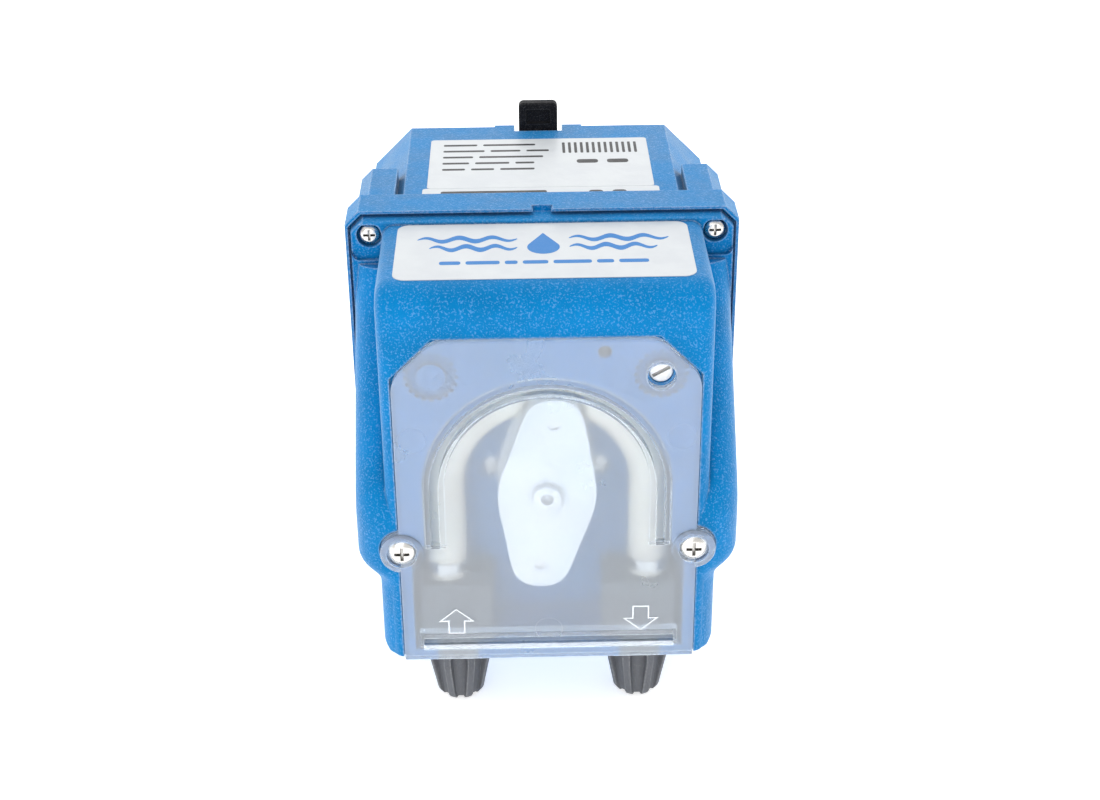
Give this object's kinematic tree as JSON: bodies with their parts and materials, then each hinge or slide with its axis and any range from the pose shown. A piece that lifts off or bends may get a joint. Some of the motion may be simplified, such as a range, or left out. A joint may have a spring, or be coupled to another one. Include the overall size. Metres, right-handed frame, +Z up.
{
  "type": "peristaltic pump",
  "caption": "Wall-mounted peristaltic dosing pump: clear-covered roller head with hose, geared motor in a two-part grained housing, finned hose nuts and a rail latch.",
  "frame": {"origin": "in the wall plane, at the middle of the rail channel in the rear housing", "axes": "+Z up as the pump hangs, +Y into the wall, -Y out of the front cover, +X to the right as seen from the front"},
  "size_m": [0.0974, 0.1082, 0.128],
  "materials": {
    "blue_plastic": "fine spark-grained moulding",
    "clear_cover": "clear, frosted on its back",
    "white_plastic": "smooth acetal",
    "hose_elastomer": "satin cream elastomer",
    "grey_plastic": "dark grey glass-filled nylon",
    "black_plastic": "satin black",
    "label_film": "printed film",
    "nickel_steel": "bright nickel plate",
    "plated_can": "zinc-plated pressing",
    "armature_iron": "laminations",
    "brass": "turned",
    "rubber_seal": "soft black",
    "grip_white": "natural",
    "board_green": "solder mask",
    "lamp_lens": "smoked lens",
    "transformer_case": "potted",
    "terminal_green": "moulded"
  },
  "bodies": {
    "housing": {"front_housing": "blue_plastic", "rear_housing": "blue_plastic", "front_cover": "clear_cover", "pump_hose": "hose_elastomer", "suction_connector": "grey_plastic", "discharge_connector": "grey_plastic", "gland_body": "black_plastic", "gland_lock_nut": "black_plastic", "gland_cap": "black_plastic", "trimmer_body": "black_plastic", "fuse_holder": "black_plastic", "motor_end_bell": "black_plastic", "front_label": "label_film", "rear_label": "label_film", "rear_label_strip": "label_film", "cover_screws": "nickel_steel", "case_screws": "nickel_steel", "foot_screws": "nickel_steel", "board_screws": "nickel_steel", "gearbox_screws": "nickel_steel", "gear_axles": "nickel_steel", "suction_clip": "nickel_steel", "discharge_clip": "nickel_steel", "terminal_screws": "nickel_steel", "latch_spring": "nickel_steel", "gearbox_can": "plated_can", "gearbox_plate": "plated_can", "motor_can": "plated_can", "capacitor": "plated_can", "motor_magnets": "armature_iron", "motor_bushes": "brass", "motor_tags": "brass", "shaft_bush": "brass", "housing_gasket": "rubber_seal", "gland_seal": "rubber_seal", "panel_board": "board_green", "power_board": "board_green", "status_lamp": "lamp_lens", "transformer": "transformer_case", "terminal_block": "terminal_green"},
    "rotor": {"carrier_front": "white_plastic", "carrier_rear": "white_plastic", "roller_pins": "nickel_steel", "output_shaft": "nickel_steel", "output_gear": "white_plastic"},
    "upper_roller": {"upper_roller": "white_plastic"},
    "lower_roller": {"lower_roller": "white_plastic"},
    "second_gear": {"second_gear": "white_plastic"},
    "first_gear": {"first_gear": "white_plastic"},
    "armature": {"motor_armature": "armature_iron", "motor_pinion": "brass"},
    "trimmer": {"trimmer_screw": "white_plastic"},
    "latch": {"rail_latch": "black_plastic"},
    "suction_ring": {"suction_grip_ring": "grip_white"},
    "suction_nut": {"suction_nut": "grey_plastic"},
    "discharge_ring": {"discharge_grip_ring": "grip_white"},
    "discharge_nut": {"discharge_nut": "grey_plastic"}
  },
  "joints": [
    {"name": "rotor_spin", "type": "hinge", "parent": "housing", "child": "rotor", "pos_m": [0, -0.0948, -0.0066], "axis": [0, 1, 0], "continuous": true, "deforming": ["pump_hose"]},
    {"name": "upper_roller_spin", "type": "hinge", "parent": "rotor", "child": "upper_roller", "pos_m": [0.00171, -0.0948, 0.01333], "axis": [0, 1, 0], "continuous": true},
    {"name": "lower_roller_spin", "type": "hinge", "parent": "rotor", "child": "lower_roller", "pos_m": [-0.00171, -0.0948, -0.02653], "axis": [0, 1, 0], "continuous": true},
    {"name": "second_gear_spin", "type": "hinge", "parent": "housing", "child": "second_gear", "pos_m": [0.0082, -0.0773, -0.0034], "axis": [0, 1, 0], "continuous": true},
    {"name": "first_gear_spin", "type": "hinge", "parent": "housing", "child": "first_gear", "pos_m": [0.00728, -0.0773, 0.00535], "axis": [0, 1, 0], "continuous": true},
    {"name": "armature_spin", "type": "hinge", "parent": "housing", "child": "armature", "pos_m": [0, -0.0623, 0.0004], "axis": [0, 1, 0], "continuous": true},
    {"name": "dial_turn", "type": "hinge", "parent": "housing", "child": "trimmer", "pos_m": [0.0269, -0.1023, 0.028], "axis": [0, 1, 0], "range_deg": [0, 270]},
    {"name": "latch_slide", "type": "slide", "parent": "housing", "child": "latch", "axis": [0, 0, 1], "range_m": [0, 0.005], "stiffness_N_per_m": 900, "springref_m": -0.003, "deforming": ["latch_spring"]},
    {"name": "suction_nut_lift", "type": "slide", "parent": "housing", "child": "suction_ring", "axis": [0, 0, -1], "range_m": [0, 0.009]},
    {"name": "suction_nut_turn", "type": "hinge", "parent": "suction_ring", "child": "suction_nut", "pos_m": [-0.023, -0.0948, -0.06], "axis": [0, 0, -1], "range_deg": [0, 2160]},
    {"name": "discharge_nut_lift", "type": "slide", "parent": "housing", "child": "discharge_ring", "axis": [0, 0, -1], "range_m": [0, 0.009]},
    {"name": "discharge_nut_turn", "type": "hinge", "parent": "discharge_ring", "child": "discharge_nut", "pos_m": [0.023, -0.0948, -0.06], "axis": [0, 0, -1], "range_deg": [0, 2160]}
  ],
  "couplings": [
    {"joint": "upper_roller_spin", "follows": "rotor_spin", "ratio": -3.8571},
    {"joint": "lower_roller_spin", "follows": "rotor_spin", "ratio": -3.8571},
    {"joint": "second_gear_spin", "follows": "rotor_spin", "ratio": -2.6667},
    {"joint": "first_gear_spin", "follows": "rotor_spin", "ratio": 7.1111},
    {"joint": "armature_spin", "follows": "rotor_spin", "ratio": -18.963},
    {"joint": "suction_nut_turn", "follows": "suction_nut_lift", "rad_per_m": 4188.8},
    {"joint": "discharge_nut_turn", "follows": "discharge_nut_lift", "rad_per_m": 4188.8}
  ]
}
